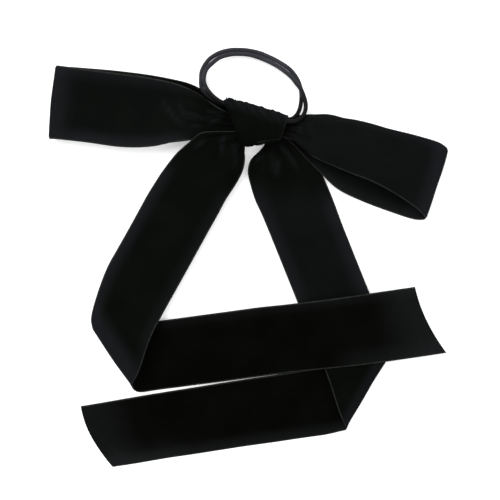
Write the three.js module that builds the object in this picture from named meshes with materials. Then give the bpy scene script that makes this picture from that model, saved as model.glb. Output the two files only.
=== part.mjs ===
// Velvet ribbon hair bow tied round a two-strand elastic hair tie.
// Millimetres, +Z up. The bow lies flat on z = 0 with its knot over the origin, loops to the
// left (-X) and right (+X), both tails towards -Y and the hair tie towards +Y.
import * as THREE from 'three';

// ---- driving dimensions -------------------------------------------------------------------
const RIBBON_WIDTH = 38;
const RIBBON_THICKNESS = 1;
const KNOT_HEIGHT = 13.6;
const KNOT_WALL = 1.4;
const STRAND_RADIUS = 1.1;
const STITCH_RADIUS = 0.45;
const BINDING_RADIUS = 0.4;
const LOOP_STEPS = 34;
const ACROSS_STEPS = 6;
const HALF_WIDTH = RIBBON_WIDTH / 2;

// ---- materials ------------------------------------------------------------------------------
const VELVET = { color: 0x0d0f0e, roughness: 0.95, metalness: 0 };
const THREAD = { color: 0x17191a, roughness: 0.7, metalness: 0 };
const ELASTIC = { color: 0x3c3d43, roughness: 0.65, metalness: 0 };

const bow = new THREE.Group();

function addPart(name, geometry, finish) {
  const mesh = new THREE.Mesh(geometry, new THREE.MeshStandardMaterial(finish));
  mesh.name = name;
  bow.add(mesh);
}

function smoothCurve(points, closed = false) {
  const vectors = points.map((point) => new THREE.Vector3(...point));
  return new THREE.CatmullRomCurve3(vectors, closed, 'catmullrom', 0.5);
}

function indexedGeometry(vertices, triangles) {
  const geometry = new THREE.BufferGeometry();
  const positions = vertices.flatMap((vertex) => vertex.toArray());
  geometry.setAttribute('position', new THREE.Float32BufferAttribute(positions, 3));
  geometry.setIndex(triangles.flat());
  geometry.computeVertexNormals();
  return geometry;
}

// ---- ribbon: a grid of points on its middle surface, made into a solid of even thickness ------
// Rows run along the ribbon and columns run across it, from edge A to edge B.
function ribbonSolid(rows, thickness = RIBBON_THICKNESS) {
  const rowCount = rows.length;
  const columnCount = rows[0].length;
  const clampRow = (i) => rows[Math.min(Math.max(i, 0), rowCount - 1)];
  const clampColumn = (row, j) => row[Math.min(Math.max(j, 0), columnCount - 1)];
  const front = [];
  const back = [];
  for (let i = 0; i < rowCount; i += 1) {
    for (let j = 0; j < columnCount; j += 1) {
      const along = new THREE.Vector3().subVectors(clampRow(i + 1)[j], clampRow(i - 1)[j]);
      const across = new THREE.Vector3().subVectors(
        clampColumn(rows[i], j + 1), clampColumn(rows[i], j - 1));
      const normal = new THREE.Vector3().crossVectors(across, along).normalize();
      front.push(rows[i][j].clone().addScaledVector(normal, thickness / 2));
      back.push(rows[i][j].clone().addScaledVector(normal, -thickness / 2));
    }
  }
  const vertices = [...front, ...back];
  const backStart = front.length;
  const at = (i, j) => i * columnCount + j;
  const triangles = [];
  const quad = (a, b, c, d) => triangles.push([a, b, c], [a, c, d]);
  for (let i = 0; i < rowCount - 1; i += 1) {
    for (let j = 0; j < columnCount - 1; j += 1) {
      quad(at(i, j), at(i, j + 1), at(i + 1, j + 1), at(i + 1, j));
      quad(backStart + at(i, j), backStart + at(i + 1, j),
        backStart + at(i + 1, j + 1), backStart + at(i, j + 1));
    }
  }
  const rim = [];
  for (let j = 0; j < columnCount; j += 1) rim.push(at(0, j));
  for (let i = 1; i < rowCount; i += 1) rim.push(at(i, columnCount - 1));
  for (let j = columnCount - 2; j >= 0; j -= 1) rim.push(at(rowCount - 1, j));
  for (let i = rowCount - 2; i > 0; i -= 1) rim.push(at(i, 0));
  rim.forEach((corner, k) => {
    const next = rim[(k + 1) % rim.length];
    quad(next, corner, backStart + corner, backStart + next);
  });
  return indexedGeometry(vertices, triangles);
}

// Rows between two edge curves. A station is [edge A point, edge B point, crown], where crown is
// how far the ribbon's middle arches away from the straight line between its edges.
function rowsBetweenEdges(stations, steps, first = 0, last = 1) {
  const edgeA = smoothCurve(stations.map((station) => station[0]));
  const edgeB = smoothCurve(stations.map((station) => station[1]));
  const crowns = smoothCurve(stations.map((station) => [station[2] ?? 0, 0, 0]));
  const rows = [];
  for (let i = 0; i <= steps; i += 1) {
    const t = first + (last - first) * (i / steps);
    const a = edgeA.getPoint(t);
    const b = edgeB.getPoint(t);
    const along = edgeA.getTangent(t).add(edgeB.getTangent(t));
    const normal = new THREE.Vector3().crossVectors(new THREE.Vector3().subVectors(b, a), along);
    normal.normalize();
    const crown = crowns.getPoint(t).x;
    const row = [];
    for (let j = 0; j <= ACROSS_STEPS; j += 1) {
      const v = j / ACROSS_STEPS;
      row.push(a.clone().lerp(b, v).addScaledVector(normal, crown * 4 * v * (1 - v)));
    }
    rows.push(row);
  }
  return rows;
}

// ---- loops: each is one ribbon out to its end and back; the stretch next to the knot is the
// neck, and the rest flexes at the line where the neck ends ------------------------------------
const LEFT_NECK = [
  [[-40.0, 18.0, 8.4], [-40.0, -11.0, 8.2], 1],
  [[-29.5, 13.0, 8.2], [-29.5, -9.8, 8.2], 0.6],
  [[-21.0, 7.2, 7.8], [-20.5, -8.6, 7.8], 0],
  [[-15.0, 3.6, 7.2], [-13.0, -7.6, 7.2], 0],
  [[-10.5, 1.4, 6.6], [-8.6, -7.2, 6.6], 0],
  [[-8.6, 1.2, 5.2], [-6.9, -7.0, 5.2], 0],
  [[-10.5, 2.4, 3.8], [-8.6, -7.2, 3.8], 0],
  [[-15.0, 7.0, 3.5], [-13.0, -7.4, 3.5], 0],
  [[-20.5, 10.4, 3.0], [-20.5, -8.0, 3.0], 0],
  [[-27.0, 14.4, 2.2], [-27.0, -9.0, 2.2], 0],
  [[-34.0, 18.2, 1.5], [-34.0, -10.2, 1.5], 0],
  [[-40.0, 20.3, 1.1], [-40.0, -11.0, 1.1], 0],
];
const LEFT_LOOP = [
  [[-40.5, 18.2, 8.4], [-40.5, -11.2, 8.2], 1],
  [[-55.0, 21.4, 8.8], [-55.0, -13.4, 9.0], 2.4],
  [[-71.0, 23.4, 8.8], [-71.0, -13.7, 9.2], 2.6],
  [[-88.0, 25.4, 8.4], [-90.0, -11.4, 8.6], 1.8],
  [[-99.8, 26.9, 7.6], [-104.2, -9.9, 7.6], 0.5],
  [[-103.4, 27.4, 4.6], [-108.2, -9.5, 4.6], 0],
  [[-99.8, 27.6, 1.4], [-104.2, -9.7, 1.4], 0],
  [[-88.0, 26.9, 0.8], [-90.0, -11.0, 0.8], 0],
  [[-71.0, 25.5, 0.8], [-71.0, -12.6, 0.8], 0],
  [[-55.0, 23.5, 0.8], [-55.0, -12.4, 0.8], 0],
  [[-40.5, 20.5, 1.0], [-40.5, -11.2, 1.0], 0],
];
const RIGHT_NECK = [
  [[42.0, 1.9, 5.6], [34.3, -21.8, 12.0], 3],
  [[33.0, 3.2, 4.6], [27.5, -17.8, 10.5], 2.4],
  [[24.5, 3.2, 3.9], [21.6, -12.8, 8.6], 1],
  [[19.6, 0.8, 3.9], [18.2, -9.8, 7.2], 0],
  [[15.5, -3.2, 4.3], [15.0, -8.3, 6.5], 0],
  [[12.8, -3.7, 4.3], [12.4, -8.0, 6.2], 0],
  [[11.4, -3.8, 3.4], [11.0, -8.0, 4.8], 0],
  [[12.8, -3.7, 2.4], [12.4, -8.2, 3.6], 0],
  [[15.5, -3.2, 2.2], [15.0, -9.0, 3.6], 0],
  [[19.6, 0.0, 1.6], [18.2, -11.3, 3.9], 0],
  [[24.5, 2.4, 1.4], [22.4, -15.8, 4.1], 0],
  [[33.0, 2.8, 1.4], [28.0, -21.6, 4.1], 0],
  [[41.6, 1.2, 1.4], [34.0, -27.4, 4.1], 0],
];
const RIGHT_LOOP = [
  [[42.5, 1.8, 5.6], [34.8, -22.0, 12.0], 3],
  [[54.5, -0.5, 5.6], [46.8, -27.0, 13.2], 5],
  [[70.0, -4.4, 5.6], [60.8, -32.4, 13.2], 5],
  [[85.0, -8.3, 5.6], [75.5, -40.4, 11.4], 4],
  [[95.5, -12.0, 5.6], [85.6, -47.2, 8.6], 2],
  [[99.8, -15.2, 3.6], [89.6, -51.2, 4.6], 0.5],
  [[97.0, -15.0, 1.4], [86.8, -52.4, 1.4], 0],
  [[85.0, -11.8, 0.8], [72.9, -48.9, 0.8], 0],
  [[70.0, -7.8, 0.8], [57.5, -43.0, 0.9], 0],
  [[54.5, -3.4, 1.0], [43.8, -35.8, 2.8], 0],
  [[42.1, 1.1, 1.4], [34.5, -27.8, 4.1], 0],
];

addPart('left_loop_neck', ribbonSolid(rowsBetweenEdges(LEFT_NECK, 30)), VELVET);
addPart('left_loop', ribbonSolid(rowsBetweenEdges(LEFT_LOOP, LOOP_STEPS)), VELVET);
addPart('right_loop_neck', ribbonSolid(rowsBetweenEdges(RIGHT_NECK, 34)), VELVET);
addPart('right_loop', ribbonSolid(rowsBetweenEdges(RIGHT_LOOP, LOOP_STEPS)), VELVET);

// ---- tails: a flat strip with one diagonal fold-under ------------------------------------------
// Down to the fold the strip runs along `down`, after it along `sideways`. The fold line halves
// the angle between them. `profile` is the strip's height over the table against its distance
// outside the fold's outer edge, followed as the ribbon runs: over the top, round and under.
// The roll also slips the cloth along the fold, and each stretch bows a little in its own plane.
const TAIL_CURVE_SAMPLES = 400;
const TAIL_PATTERN_STEP = 7;
const TAIL_FOLD_STEP = 2.6;
const SLIP_ZONE = [-30, 10];
const LEAN_RAMP = 36;
const CUT_SHEAR_LENGTH = 40;

function unit(x, y) {
  return new THREE.Vector2(x, y).normalize();
}

function profileTable(profile) {
  const curve = smoothCurve(profile.map(([x, z]) => [x, 0, z]));
  const table = [];
  let previous = curve.getPoint(0);
  let length = previous.x;
  for (let k = 0; k <= TAIL_CURVE_SAMPLES; k += 1) {
    const point = curve.getPoint(k / TAIL_CURVE_SAMPLES);
    length += point.distanceTo(previous);
    table.push({ length, x: point.x, z: point.z });
    previous = point;
  }
  return table;
}

function onProfile(table, length) {
  let k = table.findIndex((entry) => entry.length > length);
  if (k < 0) k = table.length - 1;
  k = Math.max(k, 1);
  const [before, after] = [table[k - 1], table[k]];
  const share = (length - before.length) / (after.length - before.length);
  return {
    x: THREE.MathUtils.lerp(before.x, after.x, share),
    z: THREE.MathUtils.lerp(before.z, after.z, share),
  };
}

function tailRows(tail) {
  const table = profileTable(tail.profile);
  const side = new THREE.Vector2(tail.down.y, -tail.down.x);
  const fold = tail.down.clone().add(tail.sideways).normalize();
  const outward = tail.down.clone().sub(tail.sideways).normalize();
  const place = (u, v) => {
    const cut = tail.cutSlant * v + tail.cutHollow * (1 - v * v);
    const nearCut = THREE.MathUtils.smoothstep(u, tail.length - CUT_SHEAR_LENGTH, tail.length);
    const flat = tail.down.clone().multiplyScalar(u - cut * nearCut);
    flat.addScaledVector(side, v * HALF_WIDTH);
    const beyond = flat.dot(outward);
    const { x, z } = onProfile(table, beyond);
    const slip = tail.foldSlip * THREE.MathUtils.smoothstep(beyond, ...SLIP_ZONE);
    const bow = (beyond < 0 ? tail.bowBefore : tail.bowAfter) * (beyond / 100) ** 2;
    const along = flat.dot(fold) + slip + bow;
    return new THREE.Vector3(
      tail.foldCentre[0] + fold.x * along + outward.x * x,
      tail.foldCentre[1] + fold.y * along + outward.y * x, z);
  };
  // Rows lean until they lie along the fold line, so that the fold is one clean bend.
  const leanFull = HALF_WIDTH * side.dot(outward) / tail.down.dot(outward);
  const lean = (u) => leanFull
    * THREE.MathUtils.smoothstep(u, tail.foldZone[0], tail.foldZone[0] + LEAN_RAMP)
    * (1 - THREE.MathUtils.smoothstep(u, tail.foldZone[1] - LEAN_RAMP, tail.foldZone[1]));
  const edgePoints = (u) => [place(u, 1).toArray(), place(u, -1).toArray()];
  const stations = [...tail.root, edgePoints(tail.start), edgePoints(tail.start + 14)];
  const rows = rowsBetweenEdges(
    stations, tail.rootSteps, 0, (stations.length - 2) / (stations.length - 1));
  let u = tail.start;
  while (u < tail.length) {
    const nearFold = u > tail.foldZone[0] && u < tail.foldZone[1];
    u = Math.min(u + (nearFold ? TAIL_FOLD_STEP : TAIL_PATTERN_STEP), tail.length);
    const row = [];
    for (let j = 0; j <= ACROSS_STEPS; j += 1) {
      const v = 1 - 2 * (j / ACROSS_STEPS);
      row.push(place(u - v * lean(u), v));
    }
    rows.push(row);
  }
  return rows;
}

const LEFT_TAIL = {
  down: unit(-0.5014, -0.8652),
  sideways: unit(0.9913, 0.1315),
  foldCentre: [-81.6, -119.65],
  foldSlip: 8,
  bowBefore: -1.6,
  bowAfter: -0.5,
  start: -80,
  length: 179.4,
  foldZone: [-58, 64],
  cutSlant: 6.5,
  cutHollow: 2.3,
  rootSteps: 18,
  profile: [
    [-120, 4.6], [-80, 4.4], [-60, 4.2], [-45, 5.0], [-32, 7.5], [-20, 10.9], [-10, 13.2],
    [-3, 12.2], [0, 6.7], [-3, 2.6], [-10, 1.5], [-22, 1.4], [-45, 1.9], [-70, 2.0],
    [-80, 2.4], [-90, 3.8], [-100, 5.2], [-112, 6.2], [-125, 6.4], [-140, 6.2], [-170, 5.2],
  ],
  root: [
    [[-10.6, -6.8, 11.0], [-5.6, -14.6, 9.4]],
    [[-15.2, -6.2, 11.0], [-5.0, -16.4, 9.0]],
    [[-22.0, -6.0, 10.8], [-5.0, -18.4, 8.6]],
    [[-29.0, -6.9, 10.2], [-5.5, -22.8, 7.8]],
    [[-34.8, -11.6, 9.2], [-7.3, -28.0, 6.9]],
    [[-41.5, -17.3, 8.0], [-10.6, -33.6, 6.0]],
    [[-48.6, -25.9, 6.6], [-15.9, -41.6, 5.2]],
    [[-53.0, -32.2, 5.4], [-20.0, -49.2, 4.8]],
  ],
};
const RIGHT_TAIL = {
  down: unit(0.3847, -0.923),
  sideways: unit(-0.9905, -0.1378),
  foldCentre: [62.65, -144.5],
  foldSlip: 4.15,
  bowBefore: -1.15,
  bowAfter: 2.3,
  start: -90,
  length: 149.3,
  foldZone: [-62, 62],
  cutSlant: 5.5,
  cutHollow: -2.8,
  rootSteps: 18,
  profile: [
    [-140, 2.4], [-80, 2.5], [-60, 2.5], [-45, 2.5], [-30, 2.8], [-20, 3.6], [-12, 4.4],
    [-5, 4.3], [-1.2, 3.6], [0, 2.4], [-1.2, 1.3], [-5, 0.7], [-14, 0.6], [-40, 0.6],
    [-100, 0.6], [-150, 0.6],
  ],
  root: [
    [[3.0, -13.6, 2.3], [16.4, -10.8, 2.3]],
    [[0.6, -16.2, 2.2], [20.6, -12.2, 2.2]],
    [[-3.3, -20.6, 2.3], [25.4, -15.8, 2.3]],
    [[-4.3, -26.2, 2.4], [30.2, -20.6, 2.4]],
    [[-3.4, -32.0, 2.4], [34.2, -26.0, 2.4]],
    [[-0.4, -41.7, 2.4], [37.8, -33.8, 2.4]],
    [[3.6, -50.4, 2.4], [41.4, -42.4, 2.4]],
  ],
};

addPart('left_tail', ribbonSolid(tailRows(LEFT_TAIL)), VELVET);
addPart('right_tail', ribbonSolid(tailRows(RIGHT_TAIL)), VELVET);

// ---- knot wrap: an open-ended tube round the gathered ribbon, flat underneath -------------------
const KNOT_TOP = [[-14.6, 11.3], [-5.7, 9.0], [3.1, 6.3], [10.0, 4.3], [16.7, 2.3]];
const KNOT_BOTTOM = [[-5.6, -13.3], [-0.6, -12.9], [4.4, -12.0], [9.3, -11.2], [14.1, -10.9]];
const KNOT_RING_SIDES = 28;
const KNOT_STATIONS = 8;
const KNOT_SUNK = 0.8;
const KNOT_SQUARENESS = 4;

function superellipse(angle, exponent) {
  const cosine = Math.cos(angle);
  const sine = Math.sin(angle);
  return [
    Math.sign(cosine) * Math.abs(cosine) ** (2 / exponent),
    Math.sign(sine) * Math.abs(sine) ** (2 / exponent),
  ];
}

function knotRing(t, wall) {
  const top = smoothCurve(KNOT_TOP.map(([x, y]) => [x, y, 0])).getPoint(t);
  const bottom = smoothCurve(KNOT_BOTTOM.map(([x, y]) => [x, y, 0])).getPoint(t);
  const middle = top.clone().lerp(bottom, 0.5);
  const upright = top.clone().sub(bottom).multiplyScalar(0.5);
  const reach = (upright.length() - wall) / upright.length();
  const halfZ = (KNOT_HEIGHT + KNOT_SUNK) / 2;
  const ring = [];
  for (let k = 0; k < KNOT_RING_SIDES; k += 1) {
    const angle = (k / KNOT_RING_SIDES) * 2 * Math.PI;
    const [side, height] = superellipse(angle, KNOT_SQUARENESS);
    const point = middle.clone().addScaledVector(upright, side * reach);
    point.z = Math.max(halfZ - KNOT_SUNK + height * (halfZ - wall), wall);
    ring.push(point);
  }
  return ring;
}

function loftedTube() {
  const vertices = [];
  const triangles = [];
  const rings = [];
  for (const wall of [0, KNOT_WALL]) {
    for (let i = 0; i <= KNOT_STATIONS; i += 1) {
      rings.push(vertices.length);
      vertices.push(...knotRing(i / KNOT_STATIONS, wall));
    }
  }
  const join = (ringA, ringB) => {
    for (let k = 0; k < KNOT_RING_SIDES; k += 1) {
      const next = (k + 1) % KNOT_RING_SIDES;
      triangles.push([ringA + k, ringA + next, ringB + next], [ringA + k, ringB + next, ringB + k]);
    }
  };
  const innerStart = KNOT_STATIONS + 1;
  for (let i = 0; i < KNOT_STATIONS; i += 1) {
    join(rings[i], rings[i + 1]);
    join(rings[innerStart + i + 1], rings[innerStart + i]);
  }
  join(rings[innerStart], rings[0]);
  join(rings[KNOT_STATIONS], rings[innerStart + KNOT_STATIONS]);
  return indexedGeometry(vertices, triangles);
}

addPart('knot_wrap', loftedTube(), VELVET);

// ---- gathered core: the bunched ribbon inside the knot, with its binding thread ----------------
// A core section is [x, centre y, half height along y, half height along z].
const CORE_CENTRE_Z = 6.4;
const CORE_SIDES = 16;
const CORE_SECTIONS = [
  [-4.3, -3.6, 5.6, 3.7],
  [-1.0, -4.0, 4.4, 3.3],
  [2.5, -4.5, 3.0, 2.7],
  [6.0, -4.8, 3.6, 3.0],
  [9.2, -5.1, 3.6, 3.2],
];

function coreGeometry() {
  const vertices = [];
  const triangles = [];
  for (const [x, y, halfY, halfZ] of CORE_SECTIONS) {
    for (let k = 0; k < CORE_SIDES; k += 1) {
      const angle = (k / CORE_SIDES) * 2 * Math.PI;
      vertices.push(new THREE.Vector3(
        x, y + halfY * Math.cos(angle), CORE_CENTRE_Z + halfZ * Math.sin(angle)));
    }
  }
  for (let i = 0; i < CORE_SECTIONS.length - 1; i += 1) {
    for (let k = 0; k < CORE_SIDES; k += 1) {
      const next = (k + 1) % CORE_SIDES;
      const a = i * CORE_SIDES;
      const b = a + CORE_SIDES;
      triangles.push([a + k, a + next, b + next], [a + k, b + next, b + k]);
    }
  }
  const lastRing = (CORE_SECTIONS.length - 1) * CORE_SIDES;
  for (let k = 1; k < CORE_SIDES - 1; k += 1) {
    triangles.push([0, k + 1, k]);
    triangles.push([lastRing, lastRing + k, lastRing + k + 1]);
  }
  return indexedGeometry(vertices, triangles);
}

function bindingGeometry() {
  const [x, y, halfY, halfZ] = CORE_SECTIONS[2];
  const clearance = BINDING_RADIUS + 0.35;
  const points = [];
  for (let k = 0; k < 16; k += 1) {
    const angle = (k / 16) * 2 * Math.PI;
    points.push([
      x, y + (halfY + clearance) * Math.cos(angle),
      CORE_CENTRE_Z + (halfZ + clearance) * Math.sin(angle),
    ]);
  }
  return new THREE.TubeGeometry(smoothCurve(points, true), 48, BINDING_RADIUS, 8, true);
}

addPart('gathered_core', coreGeometry(), VELVET);
addPart('binding_thread', bindingGeometry(), THREAD);

// ---- threads and strands: round bars along open curves -----------------------------------------
function roundBar(points, radius, sides, steps) {
  const section = new THREE.Shape();
  for (let k = 0; k < sides; k += 1) {
    const angle = (k / sides) * 2 * Math.PI;
    const corner = [radius * Math.cos(angle), radius * Math.sin(angle)];
    if (k === 0) section.moveTo(...corner);
    else section.lineTo(...corner);
  }
  return new THREE.ExtrudeGeometry(section, {
    steps, extrudePath: smoothCurve(points), bevelEnabled: false,
  });
}

// Over-and-under stitches along the left half of the knot's top edge.
const STITCH_COUNT = 7;
const STITCH_START = [-13.6, 11.9];
const STITCH_END = [3.6, 7.1];
const STITCH_SWING = 2.6;
const STITCH_CENTRE_Z = 7.0;

function stitchPoints() {
  const points = [];
  for (let k = 0; k <= 2 * STITCH_COUNT; k += 1) {
    const t = k / (2 * STITCH_COUNT);
    points.push([
      THREE.MathUtils.lerp(STITCH_START[0], STITCH_END[0], t),
      THREE.MathUtils.lerp(STITCH_START[1], STITCH_END[1], t) + 0.25,
      STITCH_CENTRE_Z + (k % 2 ? STITCH_SWING : -STITCH_SWING),
    ]);
  }
  return points;
}

addPart('knot_stitching', roundBar(stitchPoints(), STITCH_RADIUS, 6, 56), THREAD);

// ---- hair tie: two elastic rings through the knot; each ring's free arc flexes at the ribbon's
// upper edges, so the stretch through the knot and the free arc are separate bars -----------------
const STRAND_1_ROOT = [
  [-26.7, 16.9, 5.8], [-23.2, 12.9, 6.3], [-19.0, 9.9, 6.6], [-14.5, 8.0, 6.6], [-4.0, 4.6, 6.6],
  [7.0, 1.5, 6.6], [16.6, -0.9, 6.6], [19.8, 1.5, 6.2], [22.2, 5.6, 5.2],
];
const STRAND_2_ROOT = [
  [-25.7, 16.2, 8.5], [-22.4, 12.0, 9.0], [-18.6, 9.2, 9.2], [-14.5, 7.6, 9.2], [-4.0, 4.6, 9.2],
  [7.0, 1.5, 9.2], [17.0, -1.2, 9.2], [22.4, 0.5, 8.6], [25.1, 4.6, 7.7],
];
const STRAND_1_ARC = [
  [-28.0, 20.4, 4.8], [-27.4, 25.7, 3.2], [-24.0, 31.7, 1.8], [-18.8, 34.9, 1.3],
  [-13.6, 36.2, 1.2], [-8.4, 36.4, 1.2], [-3.1, 35.9, 1.2], [2.1, 34.7, 1.2], [7.3, 32.8, 1.2],
  [12.6, 30.1, 1.2], [17.8, 26.5, 1.3], [21.3, 22.1, 1.6], [23.1, 17.9, 2.2], [23.7, 14.2, 3.0],
  [23.4, 10.5, 4.0], [23.0, 9.0, 4.4],
];
const STRAND_2_ARC = [
  [-27.0, 19.6, 7.4], [-25.9, 25.6, 5.8], [-22.9, 29.1, 4.5], [-18.7, 32.3, 3.6],
  [-13.5, 33.9, 3.1], [-8.3, 34.2, 3.0], [-3.1, 33.7, 3.0], [2.1, 32.2, 2.9], [7.3, 30.0, 2.9],
  [12.5, 27.1, 3.1], [17.7, 23.0, 3.8], [21.1, 18.9, 4.7], [23.5, 15.4, 5.6], [25.2, 10.2, 6.7],
  [25.4, 8.2, 7.0],
];

addPart('tie_strand_1_root', roundBar(STRAND_1_ROOT, STRAND_RADIUS, 10, 30), ELASTIC);
addPart('tie_strand_2_root', roundBar(STRAND_2_ROOT, STRAND_RADIUS, 10, 30), ELASTIC);
addPart('tie_strand_1_arc', roundBar(STRAND_1_ARC, STRAND_RADIUS, 10, 44), ELASTIC);
addPart('tie_strand_2_arc', roundBar(STRAND_2_ARC, STRAND_RADIUS, 10, 44), ELASTIC);

export default bow;
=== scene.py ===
"""Black velvet ribbon hair bow tied round a two-strand elastic hair tie, lying on a pale table."""
import math

import bpy
import numpy as np
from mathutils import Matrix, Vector, noise


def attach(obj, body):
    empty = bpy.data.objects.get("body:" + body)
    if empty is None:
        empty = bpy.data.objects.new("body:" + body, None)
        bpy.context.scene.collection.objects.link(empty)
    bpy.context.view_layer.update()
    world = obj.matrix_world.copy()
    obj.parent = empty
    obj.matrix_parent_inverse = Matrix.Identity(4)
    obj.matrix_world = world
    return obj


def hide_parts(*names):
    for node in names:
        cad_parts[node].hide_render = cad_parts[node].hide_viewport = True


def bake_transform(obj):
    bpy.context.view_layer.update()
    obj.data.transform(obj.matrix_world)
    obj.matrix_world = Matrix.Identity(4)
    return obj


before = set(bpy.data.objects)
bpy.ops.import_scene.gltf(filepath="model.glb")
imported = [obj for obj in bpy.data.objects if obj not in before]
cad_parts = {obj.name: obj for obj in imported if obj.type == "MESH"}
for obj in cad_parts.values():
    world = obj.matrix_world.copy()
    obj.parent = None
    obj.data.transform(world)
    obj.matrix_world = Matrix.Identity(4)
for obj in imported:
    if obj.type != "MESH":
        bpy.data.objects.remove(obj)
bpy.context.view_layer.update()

MM = 0.001

# ---- camera --------------------------------------------------------------------------------------
CAMERA_LENS = 50.0
SENSOR_WIDTH = 36.0
NEAR_CLIP = 0.01
CAMERA_TILT = math.radians(5.5)
CAMERA_TARGET = Vector((-3.126, -68.623, 0.0)) * MM
CAMERA_DISTANCE = 374.36 * MM


def make_camera():
    data = bpy.data.cameras.new("camera")
    data.lens = CAMERA_LENS
    data.sensor_width = SENSOR_WIDTH
    data.clip_start = NEAR_CLIP
    camera = bpy.data.objects.new("camera", data)
    camera.location = CAMERA_TARGET + CAMERA_DISTANCE * Vector(
        (0.0, math.sin(CAMERA_TILT), math.cos(CAMERA_TILT)))
    camera.rotation_euler = (-CAMERA_TILT, 0.0, 0.0)
    bpy.context.scene.collection.objects.link(camera)
    bpy.context.scene.camera = camera


make_camera()

# ---- materials -----------------------------------------------------------------------------------
PATCH_LOW = 0.35
PATCH_HIGH = 0.65
VELVET_PATCH_SCALE = 55.0
VELVET_GRAIN_SCALE = 2600.0
STREAK_SCALE = 240.0


def new_material(name):
    material = bpy.data.materials.new(name)
    material.use_nodes = True
    tree = material.node_tree
    return material, tree, tree.nodes["Principled BSDF"]


def add_node(tree, kind, inputs=None, **settings):
    node = tree.nodes.new(kind)
    for key, value in settings.items():
        setattr(node, key, value)
    for key, value in (inputs or {}).items():
        node.inputs[key].default_value = value
    return node


def noise_bump(tree, shader, scale, strength, distance):
    """Fine bump from noise on object coordinates."""
    place = add_node(tree, "ShaderNodeTexCoord")
    grain = add_node(tree, "ShaderNodeTexNoise", {"Scale": scale, "Detail": 4.0, "Roughness": 0.6})
    bump = add_node(tree, "ShaderNodeBump", {"Strength": strength, "Distance": distance})
    tree.links.new(place.outputs["Object"], grain.inputs["Vector"])
    tree.links.new(grain.outputs["Fac"], bump.inputs["Height"])
    tree.links.new(bump.outputs["Normal"], shader.inputs["Normal"])


def colour_patches(tree, shader, dark, light, scale):
    """Slow change of tone over the cloth, as where the pile has been stroked."""
    place = add_node(tree, "ShaderNodeTexCoord")
    patches = add_node(tree, "ShaderNodeTexNoise", {"Scale": scale, "Detail": 3.0})
    ramp = add_node(tree, "ShaderNodeValToRGB")
    ramp.color_ramp.elements[0].position = PATCH_LOW
    ramp.color_ramp.elements[0].color = (*dark, 1)
    ramp.color_ramp.elements[1].position = PATCH_HIGH
    ramp.color_ramp.elements[1].color = (*light, 1)
    tree.links.new(place.outputs["Object"], patches.inputs["Vector"])
    tree.links.new(patches.outputs["Fac"], ramp.inputs["Fac"])
    tree.links.new(ramp.outputs["Color"], shader.inputs["Base Color"])


def cloth_with_painted_light(name, dark, light, pale_colour, sheen, roughness=0.9, gloss=0.015):
    """Cloth whose vertex layer of painted light turns its colour to a pale colour: painted sheen on the
    velvet, painted shade and highlight on the elastic.
    """
    material, tree, shader = new_material(name)
    shader.inputs["Roughness"].default_value = roughness
    shader.inputs["Specular IOR Level"].default_value = gloss
    shader.inputs["Sheen Weight"].default_value = sheen
    shader.inputs["Sheen Roughness"].default_value = 0.25
    shader.inputs["Sheen Tint"].default_value = (0.72, 0.82, 1.0, 1)
    colour_patches(tree, shader, dark, light, VELVET_PATCH_SCALE)
    cloth = shader.inputs["Base Color"].links[0].from_socket
    # The vertex layer read here is painted light: where it is high, the mix turns the cloth's colour to
    # the pale colour, unevenly in streaks.
    painted_light = add_node(tree, "ShaderNodeAttribute", attribute_name="painted_light")
    streaks = add_node(tree, "ShaderNodeTexNoise",
                       {"Scale": STREAK_SCALE, "Detail": 5.0, "Roughness": 0.7})
    place = add_node(tree, "ShaderNodeTexCoord")
    uneven = add_node(tree, "ShaderNodeMapRange", {"To Min": 0.6, "To Max": 1.35})
    share = add_node(tree, "ShaderNodeMath", operation="MULTIPLY", use_clamp=True)
    mix = add_node(tree, "ShaderNodeMix", {7: (*pale_colour, 1)}, data_type="RGBA")
    tree.links.new(place.outputs["Object"], streaks.inputs["Vector"])
    tree.links.new(streaks.outputs["Fac"], uneven.inputs["Value"])
    tree.links.new(painted_light.outputs["Fac"], share.inputs[0])
    tree.links.new(uneven.outputs["Result"], share.inputs[1])
    tree.links.new(share.outputs["Value"], mix.inputs[0])
    tree.links.new(cloth, mix.inputs[6])
    tree.links.new(mix.outputs[2], shader.inputs["Base Color"])
    noise_bump(tree, shader, VELVET_GRAIN_SCALE, 0.6, 0.00015)
    return material


def plain_cloth(name, dark, light, roughness, gloss, patch_scale, grain_scale):
    """Woven or twisted thread without a pile."""
    material, tree, shader = new_material(name)
    shader.inputs["Roughness"].default_value = roughness
    shader.inputs["Specular IOR Level"].default_value = gloss
    colour_patches(tree, shader, dark, light, patch_scale)
    noise_bump(tree, shader, grain_scale, 0.5, 0.00008)
    return material


# Each velvet's first two colours are its own near-black. Its third, bluish colour is painted sheen,
# shown where the layer of painted light is high.
PILE = cloth_with_painted_light("velvet_pile", (0.0016, 0.0020, 0.0015), (0.0025, 0.0030, 0.0023),
                    (0.0082, 0.0088, 0.0104), 0.018)
REVERSE = cloth_with_painted_light("velvet_reverse", (0.0010, 0.0012, 0.0008), (0.0016, 0.0018, 0.0013),
                       (0.0078, 0.0086, 0.0090), 0.012)
SELVAGE = plain_cloth("selvage_satin", (0.0095, 0.0110, 0.0095), (0.0170, 0.0188, 0.0166), 0.55,
                      0.04, 300.0, 1500.0)
# The elastic's first two colours are painted shade, shown near the bow. Its third, grey colour is its
# own colour on the free ring, and at full strength it is a painted highlight.
ELASTIC = cloth_with_painted_light("elastic_braid", (0.0022, 0.0022, 0.0028), (0.0036, 0.0036, 0.0044),
                       (0.0310, 0.0315, 0.0390), 0.0, 0.42, 0.07)
THREAD = plain_cloth("sewing_thread", (0.003, 0.003, 0.0035), (0.006, 0.006, 0.0065), 0.6, 0.06,
                     900.0, 4000.0)

# ---- shapes: numpy helpers, in millimetres -------------------------------------------------------


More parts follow.
